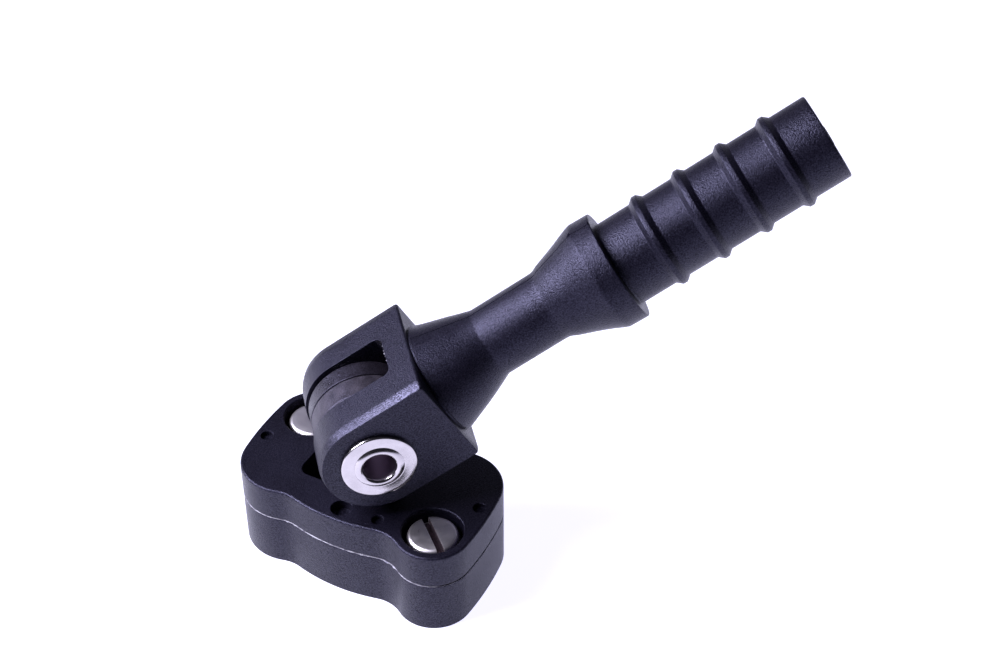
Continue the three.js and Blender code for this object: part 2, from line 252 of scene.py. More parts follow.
def finished(piece, place, material, body, slot, *nodes, sharp=38):
    """Places a piece on the frame, smooths it and hands it its material and body."""
    piece.data.transform(place)
    piece.data.polygons.foreach_set("use_smooth", [True] * len(piece.data.polygons))
    piece.data.set_sharp_from_angle(angle=math.radians(sharp))
    weighted = piece.modifiers.new("even_normals", "WEIGHTED_NORMAL")
    weighted.keep_sharp, weighted.weight = True, 80
    piece.data.materials.clear()
    piece.data.materials.append(material)
    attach(piece, body)
    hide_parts(*nodes)
    return piece


# ---- Node helpers --------------------------------------------------------------------------------


class Nodes:
    """A material's node tree, with short calls for the few node kinds used here."""

    def __init__(self, name):
        self.material = bpy.data.materials.new(name)
        self.material.use_nodes = True
        self.tree = self.material.node_tree
        self.shader = self.tree.nodes["Principled BSDF"]
        self.place = self.tree.nodes.new("ShaderNodeTexCoord").outputs["Object"]

    def link(self, source, target):
        self.tree.links.new(source, target)

    def noise(self, scale, detail=2.0, roughness=0.5, vector=None):
        node = self.tree.nodes.new("ShaderNodeTexNoise")
        node.inputs["Scale"].default_value = scale
        node.inputs["Detail"].default_value = detail
        node.inputs["Roughness"].default_value = roughness
        self.link(vector or self.place, node.inputs["Vector"])
        return node.outputs["Fac"]

    def on_axes(self, axes):
        """The coordinates along a piece's own axes, in metres."""
        mapped = self.tree.nodes.new("ShaderNodeMapping")
        mapped.vector_type = "TEXTURE"
        location, turn, _ = axes.decompose()
        mapped.inputs["Location"].default_value = location
        mapped.inputs["Rotation"].default_value = turn.to_euler()
        self.link(self.place, mapped.inputs["Vector"])
        parts = self.tree.nodes.new("ShaderNodeSeparateXYZ")
        self.link(mapped.outputs["Vector"], parts.inputs["Vector"])
        return parts.outputs

    def spread(self, source, low, high, from_low=0.3, from_high=0.7):
        """A value moved from its own range to low and high, and kept between them."""
        node = self.tree.nodes.new("ShaderNodeMapRange")
        for key, value in (("From Min", from_low), ("From Max", from_high),
                           ("To Min", low), ("To Max", high)):
            node.inputs[key].default_value = value
        self.link(source, node.inputs["Value"])
        return node.outputs["Result"]

    def math(self, kind, a, b):
        node = self.tree.nodes.new("ShaderNodeMath")
        node.operation = kind
        for socket, value in zip(node.inputs, (a, b)):
            if isinstance(value, (int, float)):
                socket.default_value = value
            else:
                self.link(value, socket)
        return node.outputs["Value"]

    def mix(self, factor, a, b):
        node = self.tree.nodes.new("ShaderNodeMix")
        node.data_type = "RGBA"
        self.link(factor, node.inputs[0])
        for socket, value in ((node.inputs[6], a), (node.inputs[7], b)):
            if isinstance(value, bpy.types.NodeSocket):
                self.link(value, socket)
            else:
                socket.default_value = (*value, 1)
        return node.outputs[2]

    def bump(self, height, distance, strength=1.0, before=None):
        node = self.tree.nodes.new("ShaderNodeBump")
        node.inputs["Distance"].default_value = distance
        node.inputs["Strength"].default_value = strength
        self.link(height, node.inputs["Height"])
        if before:
            self.link(before, node.inputs["Normal"])
        return node.outputs["Normal"]

    def set(self, **values):
        for key, value in values.items():
            self.shader.inputs[key.replace("_", " ")].default_value = value


# ---- Materials -----------------------------------------------------------------------------------


GRAIN_SCALE, GRAIN_HEIGHT = 3000, 0.00023      # the eroded grain: noise scale, height in metres
FLOW_SCALE, FLOW_HEIGHT = 220, 0.00012         # the soft flow marks
SHEEN = (0.08, 0.58)                           # specular level in the grain's hollows and tops
GLINTS = (0.05, 1.05)                          # the painted highlight that the band adds to it
COOL_TINT = (0.66, 0.65, 1.0, 1)
BAND_WIDTH = 2.1


def painted_band_highlight(nodes):
    """1 on the band along the clevis's front edge, where a highlight is painted in as extra sheen,
    most at the shoulder.
    """
    parts = nodes.on_axes(ARM_AXES)
    low, top = CLEVIS_FRONT + BAND_WIDTH, CLEVIS_HEIGHT / 2
    across = nodes.spread(parts["Y"], 1, 0, low * MM, (low + 0.5) * MM)
    up = nodes.spread(parts["Z"], 0, 1, (top - 0.95) * MM, (top - 0.7) * MM)
    along = nodes.spread(parts["X"], 0.25, 1, 0, SHOULDER * MM)
    return nodes.math("MULTIPLY", nodes.math("MULTIPLY", across, up), along)


def nylon(name, dark, light, roughness, grain, mottle, painted_band_sheen=False):
    """Moulded glass-filled nylon: a fine eroded grain, soft flow marks and patchy sheen."""
    nodes = Nodes(name)
    patches = nodes.noise(mottle, 3)
    speckle = nodes.noise(GRAIN_SCALE, 2, 0.7)
    colour = nodes.mix(nodes.spread(patches, 0, 1), dark, light)
    nodes.link(colour, nodes.shader.inputs["Base Color"])
    rough = nodes.math("ADD", nodes.spread(patches, roughness - 0.04, roughness + 0.04),
                       nodes.spread(speckle, -0.07, 0.08))
    nodes.link(rough, nodes.shader.inputs["Roughness"])
    flow = nodes.bump(nodes.noise(FLOW_SCALE, 3), FLOW_HEIGHT, 0.25)
    nodes.link(nodes.bump(speckle, GRAIN_HEIGHT, grain, flow), nodes.shader.inputs["Normal"])
    sheen = nodes.spread(speckle, *SHEEN)
    # painted highlight: extra specular level on the band along the clevis's front edge
    if painted_band_sheen:
        glints = nodes.spread(speckle, *GLINTS, 0.42, 0.66)
        shiny = nodes.math("MULTIPLY", painted_band_highlight(nodes), glints)
        sheen = nodes.math("ADD", sheen, shiny)
    nodes.link(sheen, nodes.shader.inputs["Specular IOR Level"])
    nodes.set(Specular_Tint=COOL_TINT)
    return nodes.material


def steel(name, colour, roughness, axes, ring_size, dirt_and_shade, dirt_and_shade_to, dirt_and_shade_below):
    """Stainless steel turned on a lathe, with rings round the y of its axes.

    roughness is the range it wears over, and ring_size the rings' noise scale and height. A darker
    colour, painted shade with some dirt, reaches out to the radius dirt_and_shade_to, below the
    height dirt_and_shade_below on that y.
    """
    nodes = Nodes(name)
    low, high = roughness
    ring_scale, ring_height = ring_size
    parts = nodes.on_axes(axes)
    squares = nodes.math("ADD", nodes.math("MULTIPLY", parts["X"], parts["X"]),
                         nodes.math("MULTIPLY", parts["Z"], parts["Z"]))
    radius = nodes.math("SQRT", squares, 0)
    across = nodes.tree.nodes.new("ShaderNodeCombineXYZ")
    nodes.link(nodes.math("MULTIPLY", radius, ring_scale), across.inputs["X"])
    rings = nodes.noise(1.0, 4, 0.7, across.outputs["Vector"])
    smears = nodes.noise(260, 3, 0.6)
    # painted shade, with some dirt: a darker colour inside the given radius and below the given
    # height
    inside = nodes.spread(radius, 1, 0, dirt_and_shade_to * MM, (dirt_and_shade_to + 0.12) * MM)
    low_down = nodes.spread(parts["Y"], 1, 0, dirt_and_shade_below * MM, (dirt_and_shade_below + 0.25) * MM)
    dirt_and_shade_mask = nodes.math("MULTIPLY", inside, low_down)
    clean = nodes.mix(nodes.spread(smears, 0, 1), colour, [c * 0.86 for c in colour])
    nodes.link(nodes.mix(dirt_and_shade_mask, clean, dirt_and_shade), nodes.shader.inputs["Base Color"])
    worn = nodes.spread(nodes.math("MULTIPLY", nodes.math("ADD", rings, smears), 0.5), low, high)
    rough = nodes.math("ADD", worn, nodes.math("MULTIPLY", dirt_and_shade_mask, 0.25))
    nodes.link(rough, nodes.shader.inputs["Roughness"])
    nodes.link(nodes.bump(rings, ring_height, 0.5), nodes.shader.inputs["Normal"])
    nodes.set(Metallic=1.0)
    return nodes.material


# ---- Base ----------------------------------------------------------------------------------------


def angle_to(a, b):
    return math.degrees(math.atan2(b[1] - a[1], b[0] - a[0]))


def arc_beside(a, b, r, to_a, to_b):
    """The arc of radius r at given distances from arcs a and b, left of the line from a to b."""
    apart = math.hypot(b[0] - a[0], b[1] - a[1])
    ux, uy = (b[0] - a[0]) / apart, (b[1] - a[1]) / apart
    along = (to_a ** 2 - to_b ** 2 + apart ** 2) / (2 * apart)
    up = math.sqrt(to_a ** 2 - along ** 2)
    return (a[0] + ux * along - uy * up, a[1] + uy * along + ux * up, r)


def waist_between(a, b):
    """The hollow arc that touches arcs a and b from outside."""
    return arc_beside(a, b, WAIST_R, a[2] + WAIST_R, b[2] + WAIST_R)


def base_outline(inset=0.0):
    """The base's outline, moved inwards by inset. It is the same after half a turn."""
    lobe = (-LOBE[0], -LOBE[1], LOBE[2])
    right, left = waist_between(BULGE, CORNER), waist_between(lobe, BULGE)
    bow = arc_beside(LOBE, CORNER, END_R, END_R - LOBE[2], END_R - CORNER[2])
    far_bow = (-bow[0], -bow[1], END_R)
    half = []
    for circle, first, last, steps, sign in (
        (CORNER, angle_to(bow, CORNER), angle_to(CORNER, right), 22, -1),
        (right, angle_to(right, CORNER) + 360, angle_to(right, BULGE) + 360, 10, 1),
        (BULGE, angle_to(BULGE, right), angle_to(BULGE, left), 20, -1),
        (left, angle_to(left, BULGE) + 360, angle_to(left, lobe) + 360, 10, 1),
        (lobe, angle_to(lobe, left), angle_to(bow, LOBE) + 180, 26, -1),
        (far_bow, angle_to(bow, LOBE) + 180, angle_to(bow, CORNER) + 180, 10, -1),
    ):
        half += arc(circle[0], circle[1], circle[2] + sign * inset, first, last, steps)[:-1]
    return half + [(-x, -y) for x, y in half]


def rounded_up(z0, z1, low_edge, high_edge, steps=4):
    """(inset, z) levels of a wall from z0 to z1 whose two edges are rounded."""
    low = [(low_edge * (1 - math.sin(a)), z0 + low_edge * (1 - math.cos(a)))
           for a in (math.pi / 2 * i / steps for i in range(steps + 1))]
    high = [(high_edge * (1 - math.cos(a)), z1 - high_edge * (1 - math.sin(a)))
            for a in (math.pi / 2 * i / steps for i in range(steps + 1))]
    return low + high


def base_wall(name, levels):
    """The base's wall through (inset, z) levels."""
    return loft(name, [[(x, y, z) for x, y in base_outline(inset)] for inset, z in levels])


def flash_size(x, y):
    """How far the moulding flash stands out here: broken, and most at the front left."""
    broad = noise.noise(Vector((x, y, 3.0)) * 0.8)
    fine = noise.noise(Vector((x, y, 9.0)) * 1.9)
    lump = 0.17 * broad + 0.14 * fine
    front = 1.0 if y < 0 and x < 22 else 0.55
    return max(0.0, min(0.2, lump)) * front


def finer(points, step):
    """The same closed line with a point at least every step."""
    result = []
    for (x0, y0), (x1, y1) in zip(points, points[1:] + points[:1]):
        parts = max(1, math.ceil(math.hypot(x1 - x0, y1 - y0) / step))
        result += [(x0 + (x1 - x0) * i / parts, y0 + (y1 - y0) * i / parts) for i in range(parts)]
    return result


def make_flash(material):
    """The bead of flash squeezed out at the parting line, just below the top plate."""
    line = finer(base_outline(), 0.45)
    count = len(line)
    z = BLOCK_HIGH.z + 0.02
    section = ((-0.3, -0.07), (0.55, -0.06), (1.0, 0.0), (0.55, 0.06), (-0.3, 0.07))
    rings = []
    for i, (x, y) in enumerate(line):
        (xa, ya), (xb, yb) = line[i - 1], line[(i + 1) % count]
        out = Vector((yb - ya, xa - xb)).normalized()
        size = flash_size(x, y)
        rings.append([(x + out.x * (reach * size if reach > 0 else reach),
                       y + out.y * (reach * size if reach > 0 else reach),
                       z + up * (0.3 + 4 * size)) for reach, up in section])
    piece = loft("parting_flash", rings, closed=True)
    return finished(piece, ROW, material, "base", "black_nylon", "base_block")


def flared_hole(r, floor, top, flare, x=0.0, y=0.0, segments=MEDIUM):
    """A round cutter whose mouth is rounded outwards."""
    mouth = [(r + flare * (1 - math.sin(a)), top - flare * (1 - math.cos(a)))
             for a in (math.radians(90 - 13 * i) for i in range(7))]
    profile = [(r, floor), *mouth, (mouth[-1][0] + 0.02, top + 1)]
    tool = turned("cutter", profile, segments)
    tool.data.transform(Matrix.Translation((x, y, 0)))
    return tool


def window_outline(grow):
    left, right, width = WINDOW
    low, high = left + WINDOW_CORNER, right - WINDOW_CORNER
    side = width / 2 - WINDOW_CORNER
    points = []
    for k, centre in enumerate(((high, side), (low, side), (low, -side), (high, -side))):
        points += arc(*centre, WINDOW_CORNER + grow, 90 * k, 90 * k + 90, 8)
    return points


def window_cutter():
    levels = [(0.0, PLATE_LOW.z - 1), (0.0, PLATE_HIGH.z - 0.3), (0.05, PLATE_HIGH.z - 0.12),
              (0.14, PLATE_HIGH.z - 0.03), (0.22, PLATE_HIGH.z + 0.005), (0.22, PLATE_HIGH.z + 1)]
    return loft("cutter", [[(x, y, z) for x, y in window_outline(grow)] for grow, z in levels])


def hexagon(across, z):
    r = across / math.sqrt(3)
    return [(r * math.cos(a), r * math.sin(a), z) for a in (TAU * (i + 0.5) / 6 for i in range(6))]


SCREWS = [("front", LOBE[0], LOBE[1]), ("rear", -LOBE[0], -LOBE[1])]


def make_base_block(material):
    top = BLOCK_HIGH.z
    levels = rounded_up(0, top, 0.22, 0.3)
    levels[5:5] = [(0.0, z) for z in (3.0, 6.0, 9.0, 11.5, 12.8)]
    piece = base_wall("base_block_shell", levels)
    tools = [flared_hole(POCKET_R, POCKET_FLOOR, top, 0.3, segments=FINE)]
    for _, x, y in SCREWS:
        tools.append(flared_hole(SCREW_HOLE_R, -1, top, 0.2, x, y, COARSE))
        pocket = loft("cutter", [hexagon(NUT_ACROSS + 2 * NUT_CLEARANCE, z)
                                 for z in (-1, NUT_SEAT + NUT_CLEARANCE)])
        pocket.data.transform(Matrix.Translation((x, y, 0)))
        tools.append(pocket)
    cut(piece, *tools)
    return finished(piece, ROW, material, "base", "black_nylon", "base_block")


def make_top_plate(material):
    bottom, top = PLATE_LOW.z, PLATE_HIGH.z
    levels = rounded_up(bottom, top, 0.3, 0.55, 5)
    levels[6:6] = [(0.0, z) for z in (15.0, 16.5, 18.0, 19.5, 21.0)]
    piece = base_wall("top_plate_shell", levels)
    tools = [window_cutter()]
    for _, x, y in SCREWS:
        tools.append(flared_hole(SCREW_HOLE_R, bottom - 1, COUNTERBORE_FLOOR, 0.2, x, y, COARSE))
        tools.append(flared_hole(COUNTERBORE_R, COUNTERBORE_FLOOR, top, 0.35, x, y, FINE))
    for x, y, r, depth in MOULD_MARKS:
        for sign in (1, -1):
            tools.append(flared_hole(r, top - depth, top, 0.12, x * sign, y * sign, 40))
    cut(piece, *tools)
    return finished(piece, ROW, material, "base", "black_nylon", "top_plate")


# ---- Fasteners -----------------------------------------------------------------------------------


def screw_axes(x, y):
    """Axes whose y runs up the screw, for the rings turned on its head."""
    return axes_matrix(Vector((1, 0, 0)), Vector((0, 0, 1)), Vector((0, -1, 0)), Vector((x, y, 0)))


def make_screw(end, x, y, material):
    low, high = box_mm(f"screw_{end}")
    shank = [(0.01, low.z), (SHANK_ROOT_R, low.z), (SHANK_R, low.z + 0.6)]
    turns = int((COUNTERBORE_FLOOR - low.z - 2.5) / THREAD_PITCH)
    for i in range(turns):
        z = low.z + 0.6 + i * THREAD_PITCH
        shank += [(SHANK_R, z + 0.12), (SHANK_ROOT_R, z + 0.5), (SHANK_ROOT_R, z + 0.6),
                  (SHANK_R, z + 0.95)]
    head_top = high.z
    head = [(SHANK_R, COUNTERBORE_FLOOR), (HEAD_R - 0.15, COUNTERBORE_FLOOR),
            (HEAD_R, COUNTERBORE_FLOOR + 0.15)]
    head += arc(HEAD_R - HEAD_RIM, head_top - HEAD_RIM - 0.06, HEAD_RIM, 0, 84, 11)
    head += [(HEAD_R - 2.4, head_top - 0.02), (2.0, head_top), (0.01, head_top)]
    piece = turned(f"screw_{end}_detail", shank + head, FINE)
    half, past = SLOT_WIDTH / 2, HEAD_R + 2
    slot = block("cutter", (-past, -half, head_top - SLOT_DEPTH), (past, half, head_top + 1))
    slot.data.transform(Matrix.Rotation(SLOT_TURN, 4, "Z"))
    cut(piece, slot)
    eased(piece, 0.07, 55, 2)
    piece.data.transform(Matrix.Translation((x, y, 0)))
    return finished(piece, ROW, material, "base", "satin_steel", f"screw_{end}")


def make_nut(end, x, y, material):
    low, high = box_mm(f"nut_{end}")
    piece = loft(f"nut_{end}_detail", [hexagon(NUT_ACROSS, z) for z in (low.z, high.z)])
    corner = NUT_ACROSS / math.sqrt(3)
    flat, rim = corner - 0.75, corner + 0.15
    rounder = turned("cutter", [(flat, low.z), (rim, low.z + NUT_CHAMFER),
                                (rim, high.z - NUT_CHAMFER), (flat, high.z)], MEDIUM)
    combine(piece, "INTERSECT", rounder)
    thread = [(NUT_MOUTH, low.z - 0.01), (NUT_BORE, low.z + 0.35)]
    steps = int((high.z - low.z - 0.8) / THREAD_PITCH)
    for i in range(steps):
        z = low.z + 0.4 + i * THREAD_PITCH
        thread += [(NUT_BORE, z), (NUT_ROOT, z + 0.45), (NUT_ROOT, z + 0.55), (NUT_BORE, z + 0.95)]
    thread += [(NUT_BORE, high.z - 0.35), (NUT_MOUTH, high.z + 0.01)]
    cut(piece, turned("cutter", thread, COARSE))
    piece.data.transform(Matrix.Translation((x, y, 0)))
    return finished(piece, ROW, material, "base", "satin_steel", f"nut_{end}", sharp=25)


# ---- Swivel post ---------------------------------------------------------------------------------


def eye_outline(inset):
    """The eye and its web seen along the pivot, moved inwards by inset."""
    foot = PLATE_HIGH.z + WEB_FOOT - PIVOT.z
    fillet = EYE_FILLET
    side = NECK_R - inset
    points = [(side, foot)]
    for sign in (1, -1):
        cx = sign * (NECK_R + fillet)
        reach = cx - EYE_CENTRE
        cz = -math.sqrt((EYE_R + fillet) ** 2 - reach ** 2)
        towards = math.degrees(math.atan2(-cz, -reach))
        hollow = arc(cx, cz, fillet + inset, 180 if sign > 0 else 0, towards, 5)
        from_eye = math.degrees(math.atan2(cz, reach))
        if sign > 0:
            points += hollow
            last = math.degrees(math.atan2(
                -math.sqrt((EYE_R + fillet) ** 2 - (NECK_R + fillet + EYE_CENTRE) ** 2),
                -(NECK_R + fillet) - EYE_CENTRE)) + 360
            points += arc(EYE_CENTRE, 0, EYE_R - inset, from_eye, last, 60)[1:]
        else:
            points += hollow[::-1][1:]
    points.append((-side, foot))
    return points


def make_post_half(end, y0, y1, edges, material):
    """One half of the post: its side of the foot and neck, and its slab of the eye."""
    rings = []
    for inset, y in rounded_up(y0, y1, *edges):
        rings.append([(x, y, z) for x, z in eye_outline(inset)])
    piece = loft(f"post_half_{end}", rings)
    low, _ = box_mm("swivel_post_front")
    foot_low, foot_high = low.z - PIVOT.z, PLATE_LOW.z - FOOT_GAP - PIVOT.z
    neck_top = PLATE_HIGH.z + NECK_TOP - PIVOT.z
    edge = FOOT_EDGE
    stem = turned("stem", [(FOOT_R - edge, foot_low), (FOOT_R, foot_low + edge),
                           (FOOT_R, foot_high - edge), (FOOT_R - edge, foot_high),
                           (NECK_R + edge, foot_high), (NECK_R, foot_high + edge),
                           (NECK_R, neck_top)], FINE)
    reach = FOOT_R + 2
    near, far = (-reach, y1) if end == "front" else (y0, reach)
    keep = block("keep", (-reach, near, foot_low - 1), (reach, far, neck_top + 1))
    combine(stem, "INTERSECT", keep)
    join(piece, stem)
    cut(piece, turned("cutter", [(EYE_BORE, y0 - 1), (EYE_BORE, y1 + 1)], 64, "y"))
    return finished(piece, POST_AXES, material, "swivel", "grey_nylon", f"swivel_post_{end}")


# ---- Clevis arm ----------------------------------------------------------------------------------


def clevis_side(inset, back):
    """The clevis seen along the pivot: its height moved inwards by inset, its shoulder by back."""
    half = CLEVIS_HEIGHT / 2 - inset
    end, ease = SHOULDER - back, SHOULDER_EASE
    run = [end - ease + (CLEVIS_CENTRE - end + ease) * i / 6 for i in range(6)]
    corner = [(end - ease * (1 - math.cos(a)), half - ease * (1 - math.sin(a)))
              for a in (math.radians(22.5 * i) for i in range(5))]
    bottom = [(x, -z) for x, z in corner] + [(x, -half) for x in run[1:]]
    round_end = arc(CLEVIS_CENTRE, 0, half, 270, 90, 64)
    return bottom + round_end + [(x, -z) for x, z in reversed(bottom)]


def clevis_levels():
    """(inset, back, along the pivot) levels: a crisp edge and a soft band at each face."""
    rise = [(1.1, 0.6, 0.0), (1.05, 0.36, 0.03), (1.0, 0.22, 0.1), (0.58, 0.06, 0.8),
            (0.2, 0.02, 1.6), (0.05, 0, 2.1), (0.0, 0, 2.5), (0.0, 0, 3.1)]
    front = [(drop * BAND_DROP, back, CLEVIS_FRONT + depth) for drop, back, depth in rise]
    rear = [(drop * BAND_DROP, back, CLEVIS_REAR - depth) for drop, back, depth in rise]
    return front + rear[::-1]


def clevis_body():
    return loft("clevis_arm_moulding", [[(x, y, z) for x, z in clevis_side(inset, back)]
                                        for inset, back, y in clevis_levels()])


def gap_cutter():
    """The clevis slot seen from above: open at the round end, round in its two inner corners."""
    front, rear = GAP_CORNERS
    points = [(-20.0, GAP_FRONT), *arc(GAP_END - front, GAP_FRONT + front, front, -90, 0, 8),
              *arc(GAP_END - rear, GAP_REAR - rear, rear, 0, 90, 10), (-20.0, GAP_REAR)]
    return loft("cutter", [[(px, py, z) for px, py in points] for z in (-THROUGH, THROUGH)])


def rib_profile(centre):
    """(along, radius) of one rib, its four corners eased."""
    foot, crest, top = RIB_FOOT / 2, RIB_CREST / 2, SPIGOT_R + RIB_HEIGHT
    side = [(-foot - 0.15, SPIGOT_R), (-foot + 0.08, SPIGOT_R + 0.06),
            (-foot + 0.25, SPIGOT_R + 0.22), (-crest - 0.13, top - 0.13),
            (-crest - 0.02, top - 0.03), (-crest + 0.1, top)]
    return [(centre + a, r) for a, r in side] + [(centre - a, r) for a, r in reversed(side)]


# The flare beyond the neck, slightly hollow: distance past the neck, height above its radius.
FLARE = ((0.6, 0.06), (1.4, 0.3), (2.5, 0.83), (4.5, 1.52), (6.5, 2.2), (8.5, 2.94),
         (10.5, 3.75), (12.4, 4.55))


def cone_profile():
    """(along, radius) of the cone, from inside the clevis to the neck."""
    start, _, r = ARM_NECK
    under, groove_end = CONE_R - CONE_UNDERCUT, SHOULDER + CONE_UNDERCUT
    first = groove_end + 0.25
    profile = [(SHOULDER - 2, under), (groove_end, under), (groove_end + 0.05, CONE_R - 0.15),
               (first, CONE_R)]
    steps = 8
    profile += [(first + (start - first) * t / steps, CONE_R + (r - CONE_R) * t / steps)
                for t in range(1, steps)]
    return profile


def neck_profile():
    """(along, radius) of the neck and the flare, up to the collar."""
    start, end, r = ARM_NECK
    profile = [(start - 0.4, r + 0.13), (start, r + 0.02), (start + 0.4, r)]
    profile += [(start + (end - start) * i / 6, r) for i in range(1, 5)]
    return profile + [(end - 1, r), (end - 0.2, r + 0.01)] + [(end + x, r + up) for x, up in FLARE]


def collar_profile():
    """(along, radius) of the collar, down to the spigot's root."""
    start, end, r = COLLAR
    edge = COLLAR_EDGE
    profile = [(start - 0.25, r - 0.14), (start + 0.1, r - 0.01), (start + 0.5, r),
               (start + 2.4, r), (end - 0.6, r)]
    profile += [(end - edge * (1 - math.sin(a)), r - edge * (1 - math.cos(a)))
                for a in (math.radians(18 * i) for i in range(6))]
    return profile + [(end, SPIGOT_R + 0.5), (end + 0.15, SPIGOT_R + 0.15), (end + 0.5, SPIGOT_R)]


def spigot_profile():
    """(along, radius) of the ribbed spigot, its end and the moulding gate left on it."""
    profile = []
    for i in range(RIB_COUNT):
        centre = RIB_FIRST + i * RIB_PITCH
        profile += [(centre - RIB_PITCH / 2, SPIGOT_R), *rib_profile(centre)]
    end, r = SPIGOT_END, SPIGOT_R
    profile += [(end - 1.5, r), (end - 0.5, r), (end - 0.15, r - 0.1), (end, r - 0.4)]
    return profile + [(end, GATE_R + 0.1), (end + 0.08, GATE_R),
                      (end + GATE_HEIGHT - 0.06, GATE_R - 0.05), (end + GATE_HEIGHT, GATE_R - 0.2)]


def arm_profile():
    """(along, radius) of the turned part of the arm, from inside the clevis to the spigot's end."""
    return cone_profile() + neck_profile() + collar_profile() + spigot_profile()


def between(table, x):
    """The rest of a row of the table, straight between its rows and level past its ends."""
    if x <= table[0][0]:
        return table[0][1:]
    for low, high in zip(table, table[1:]):
        if x <= high[0]:
            t = (x - low[0]) / (high[0] - low[0])
            return tuple(u + (v - u) * t for u, v in zip(low[1:], high[1:]))
    return table[-1][1:]


def seam_depth(along, radius):
    """The seam's groove, fainter on the spigot. It stands up as a nib at each collar corner."""
    start, end, collar_r = COLLAR
    if radius > collar_r - 0.2 and (abs(along - start) < 0.3 or 0 < end - along < 0.4):
        return -NIB_HEIGHT
    if along > end:
        return SPIGOT_SEAM_DEPTH if radius > GATE_R + 1 else 0.0
    return SEAM_DEPTH


def arm_shank():
    """The turned part, with the moulding seam along its upper and lower sides."""
    segments = FINEST
    rings = []
    for along, radius in arm_profile():
        (spread,), (y, z) = between(CONE_SPREAD, along), between(SWAY, along)
        lean = math.asin(min(0.9, SEAM / max(radius, SEAM * 1.2)))
        half = SEAM_WIDTH / radius
        deep = seam_depth(along, radius)
        sweep = []
        for side in (0, math.pi):
            sweep += [(side - half, 0), (side, deep), (side + half, 0)]
            inner = segments // 2 - 3
            sweep += [(side + half + (math.pi - 2 * half) * k / (inner + 1), 0)
                      for k in range(1, inner + 1)]
        ring = []
        for a, depth in sweep:
            turn = a + lean * math.cos(a)
            r = radius - depth
            ring.append((along, y + spread * r * math.sin(turn), z + r * math.cos(turn)))
        rings.append(ring)
    return loft("shank", rings)


def seam_cutter(side):
    """A fine V-groove along the clevis's flat top or bottom, from the slot to the shoulder."""
    z = side * CLEVIS_HEIGHT / 2
    half, above, depth = 0.16, 0.06, 0.1
    corners = [(SEAM - half, z + side * above), (SEAM, z - side * depth),
               (SEAM + half, z + side * above)]
    return loft("cutter", [[(x, y, h) for y, h in corners] for x in (GAP_END - 1, SHOULDER + 0.3)])


def make_clevis_arm(material):
    piece = clevis_body()
    ears = turned("cutter", [(EAR_BORE, -THROUGH), (EAR_BORE, THROUGH)], MEDIUM, "y")
    cut(piece, gap_cutter(), ears)
    eased(piece, 0.22, 60, 3)
    cut(piece, seam_cutter(1), seam_cutter(-1))
    join(piece, arm_shank())
    return finished(piece, ARM_AXES, material, "arm", "black_nylon", "clevis_arm")


def make_slot_burrs(material):
    """Flakes of flash left along the edge of the slot's inner end: place along y, and size."""
    bm = bmesh.new()
    for y, size in ((3.6, 0.34), (1.9, 0.3), (0.9, 0.42), (-0.1, 0.26), (-1.6, 0.3)):
        made = bmesh.ops.create_icosphere(bm, subdivisions=1, radius=size / 2)
        for vert in made["verts"]:
            jag = 1 + 0.5 * noise.noise(vert.co * 9 + Vector((y, 0, 0)))
            vert.co = Vector((GAP_END - 0.03, y, CLEVIS_HEIGHT / 2 - 0.1)) + vert.co * jag
    piece = object_from("slot_burrs", bm)
    return finished(piece, ARM_AXES, material, "arm", "black_nylon", "clevis_arm")


# ---- Rivet ---------------------------------------------------------------------------------------


def make_pivot_tube(material):
    """A tube whose ends are rolled outwards over the washers."""
    bore, lip = TUBE_BORE, TUBE_LIP
    rolled = [(bore, 1.4), (bore + 0.04, 0.9), (bore + 0.16, 0.45), (bore + 0.42, 0.14),
              (bore + 0.8, 0.0), (bore + 1.2, 0.06), (bore + 1.6, 0.26), (lip - 0.12, 0.46),
              (lip, 0.58), (lip - 0.12, 0.62), (TUBE_R, 0.6)]
    front, rear = CLEVIS_FRONT - TUBE_PROUD, CLEVIS_REAR + TUBE_PROUD
    profile = [(r, rear - depth) for r, depth in rolled]
    profile += [(r, front + depth) for r, depth in reversed(rolled)]
    piece = turned("rivet_tube", profile, FINEST, "y", closed=True)
    return finished(piece, ARM_AXES, material, "arm", "polished_steel", "pivot_tube")


def make_washer(end, seat, side, material):
    """A turned ring with a shallow hollow in its outer face."""
    r, bore, top = WASHER_R, WASHER_BORE, WASHER_THICKNESS
    face = [(bore, 0), (r - 0.1, 0), (r, 0.1), (r, top - 0.35), (r - 0.06, top - 0.18),
            (r - 0.22, top - 0.05), (r - 0.5, top), (r - 1.1, top - 0.02), (r - 1.9, top - 0.07),
            (r - 2.6, top - 0.03), (bore + 0.2, top), (bore, top - 0.12)]
    profile = [(radius, seat + side * y) for radius, y in face]
    piece = turned(f"rivet_washer_{end}", profile, FINEST, "y", closed=True)
    return finished(piece, ARM_AXES, material, "arm", "polished_steel", f"pivot_washer_{end}")


# ---- Build ---------------------------------------------------------------------------------------

BLACK = ((0.002, 0.0017, 0.004), (0.003, 0.0026, 0.006), 0.37, 0.6, 90)
black = nylon("black_nylon", *BLACK)
# the clevis's material, with a painted highlight as extra sheen on the band along its front edge
painted_band_sheen = nylon("black_nylon_painted_band_highlight", *BLACK, painted_band_sheen=True)
grey = nylon("grey_nylon", (0.006, 0.005, 0.007), (0.03, 0.026, 0.033), 0.43, 0.6, 420)
# a darker copy of the grey nylon for the rear half of the post: painted shade
painted_shade_grey = nylon("grey_nylon_rear_painted_shade", (0.004, 0.0032, 0.005), (0.010, 0.0085, 0.012), 0.33, 0.6, 420)
# a much paler nylon for the flash and the slot burrs: partly paler thin nylon, partly a painted
# highlight on their thin edges
pale_and_highlit = nylon("pale_nylon_painted_highlight", (0.06, 0.055, 0.08), (0.42, 0.41, 0.47), 0.4, 0.3, 700)
